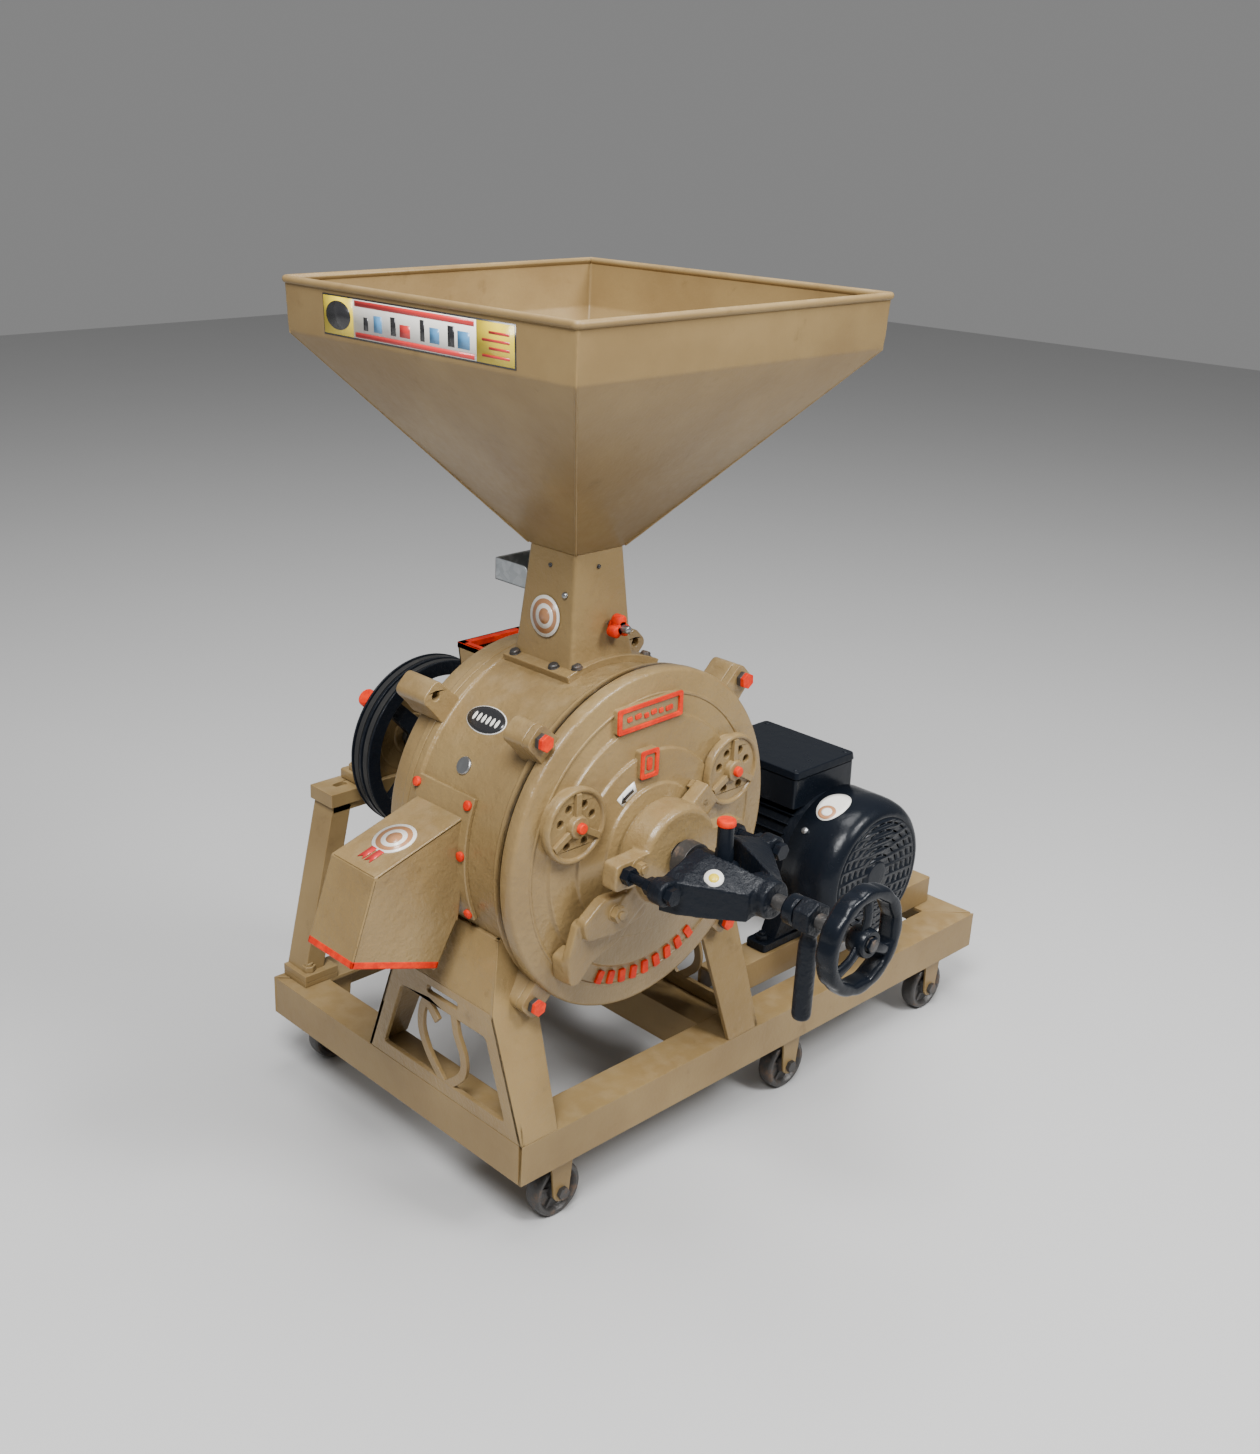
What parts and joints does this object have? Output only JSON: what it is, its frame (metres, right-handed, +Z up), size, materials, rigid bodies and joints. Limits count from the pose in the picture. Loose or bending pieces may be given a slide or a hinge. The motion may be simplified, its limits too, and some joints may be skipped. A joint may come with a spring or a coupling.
{
  "type": "stone flour mill, bolt type, belt driven",
  "caption": "Vertical stone flour mill: square grain hopper over a round bolted casing, stone-gap handwheel, side spout, V-belt drive and electric motor on a caster base.",
  "frame": {"origin": "Middle of the floor rectangle under the whole machine; wheels stand on z = 0.", "axes": "+X along the base towards the motor, +Y from the door side to the rear pulley side, +Z up."},
  "size_m": [1.264, 0.972, 1.291],
  "materials": {
    "tan_enamel": "glossy khaki gold enamel over castings and sheet",
    "black_enamel": "glossy black enamel",
    "red_paint": "satin brushed-on red paint",
    "bright_steel": "machined bright steel",
    "galvanised_sheet": "dull galvanised sheet",
    "grinding_stone": "rough pale emery stone",
    "cast_iron": "rough cast iron",
    "belt_rubber": "matte belt rubber"
  },
  "bodies": {
    "base_frame": {"base_rail_front": "tan_enamel", "base_rail_rear": "tan_enamel", "base_rail_left": "tan_enamel", "base_rail_right": "tan_enamel", "base_cross_member": "tan_enamel", "motor_rail_front": "tan_enamel", "motor_rail_rear": "tan_enamel", "stand_left": "tan_enamel", "stand_right": "tan_enamel", "front_shell": "tan_enamel", "rear_shell": "tan_enamel", "front_door": "tan_enamel", "stone_clamp_left": "tan_enamel", "stone_clamp_right": "tan_enamel", "air_inlet": "tan_enamel", "bearing_bridge": "tan_enamel", "rear_pedestal": "tan_enamel", "rear_bearing_housing": "tan_enamel", "hopper": "tan_enamel", "feed_neck": "tan_enamel", "discharge_spout": "tan_enamel", "caster_fork_front_left": "tan_enamel", "caster_fork_front_middle": "tan_enamel", "caster_fork_front_right": "tan_enamel", "caster_fork_rear_left": "tan_enamel", "caster_fork_rear_middle": "tan_enamel", "caster_fork_rear_right": "tan_enamel", "door_bolt_1": "red_paint", "door_bolt_2": "red_paint", "door_bolt_3": "red_paint", "door_bolt_4": "red_paint", "bed_stone": "grinding_stone", "front_bearing": "bright_steel", "rear_bearing": "bright_steel", "yoke": "black_enamel", "yoke_stud_left": "black_enamel", "yoke_stud_right": "black_enamel", "motor_body": "black_enamel", "fan_cover": "black_enamel", "terminal_box": "black_enamel", "v_belt_front": "belt_rubber", "v_belt_rear": "belt_rubber"},
    "thrust_carrier": {"thrust_housing": "black_enamel"},
    "adjuster": {"adjusting_screw": "black_enamel", "handwheel": "black_enamel"},
    "mill_rotor": {"main_shaft": "bright_steel", "mill_pulley": "black_enamel", "runner_stone": "grinding_stone", "runner_plate": "cast_iron"},
    "motor_armature": {"motor_rotor": "bright_steel", "motor_pulley": "black_enamel"},
    "lever": {"lock_lever": "black_enamel"},
    "gate": {"feed_gate": "galvanised_sheet"},
    "gate_knob": {"feed_knob": "red_paint"},
    "wheel_front_left": {"caster_wheel_front_left": "cast_iron"},
    "wheel_front_middle": {"caster_wheel_front_middle": "cast_iron"},
    "wheel_front_right": {"caster_wheel_front_right": "cast_iron"},
    "wheel_rear_left": {"caster_wheel_rear_left": "cast_iron"},
    "wheel_rear_middle": {"caster_wheel_rear_middle": "cast_iron"},
    "wheel_rear_right": {"caster_wheel_rear_right": "cast_iron"}
  },
  "joints": [
    {"name": "gap_slide", "type": "slide", "parent": "base_frame", "child": "thrust_carrier", "axis": [0, 1, 0], "range_m": [-0.001, 0.0012]},
    {"name": "handwheel_turn", "type": "hinge", "parent": "thrust_carrier", "child": "adjuster", "pos_m": [-0.21, -0.469, 0.55], "axis": [0, 1, 0], "range_deg": [-120, 144]},
    {"name": "mill_spin", "type": "hinge", "parent": "thrust_carrier", "child": "mill_rotor", "pos_m": [-0.21, 0, 0.55], "axis": [0, 1, 0], "continuous": true},
    {"name": "motor_spin", "type": "hinge", "parent": "base_frame", "child": "motor_armature", "pos_m": [0.288, 0, 0.358], "axis": [0, 1, 0], "continuous": true},
    {"name": "lock_lever_turn", "type": "hinge", "parent": "base_frame", "child": "lever", "pos_m": [-0.21, -0.386, 0.55], "axis": [0, 1, 0], "range_deg": [-60, 60]},
    {"name": "feed_gate_slide", "type": "slide", "parent": "base_frame", "child": "gate", "axis": [0, 1, 0], "range_m": [0, 0.055]},
    {"name": "feed_knob_turn", "type": "hinge", "parent": "base_frame", "child": "gate_knob", "pos_m": [-0.194, -0.007, 0.838], "axis": [0, 1, 0], "range_deg": [-360, 360]},
    {"name": "wheel_front_left_roll", "type": "hinge", "parent": "base_frame", "child": "wheel_front_left", "pos_m": [-0.366, -0.092, 0.043], "axis": [0, 1, 0], "continuous": true},
    {"name": "wheel_front_middle_roll", "type": "hinge", "parent": "base_frame", "child": "wheel_front_middle", "pos_m": [0.147, -0.092, 0.043], "axis": [0, 1, 0], "continuous": true},
    {"name": "wheel_front_right_roll", "type": "hinge", "parent": "base_frame", "child": "wheel_front_right", "pos_m": [0.54, -0.092, 0.043], "axis": [0, 1, 0], "continuous": true},
    {"name": "wheel_rear_left_roll", "type": "hinge", "parent": "base_frame", "child": "wheel_rear_left", "pos_m": [-0.366, 0.454, 0.043], "axis": [0, 1, 0], "continuous": true},
    {"name": "wheel_rear_middle_roll", "type": "hinge", "parent": "base_frame", "child": "wheel_rear_middle", "pos_m": [0.147, 0.454, 0.043], "axis": [0, 1, 0], "continuous": true},
    {"name": "wheel_rear_right_roll", "type": "hinge", "parent": "base_frame", "child": "wheel_rear_right", "pos_m": [0.54, 0.454, 0.043], "axis": [0, 1, 0], "continuous": true}
  ],
  "couplings": [
    {"joint": "handwheel_turn", "follows": "gap_slide", "rad_per_m": 2094.4},
    {"joint": "motor_spin", "follows": "mill_spin", "ratio": 2.398}
  ]
}
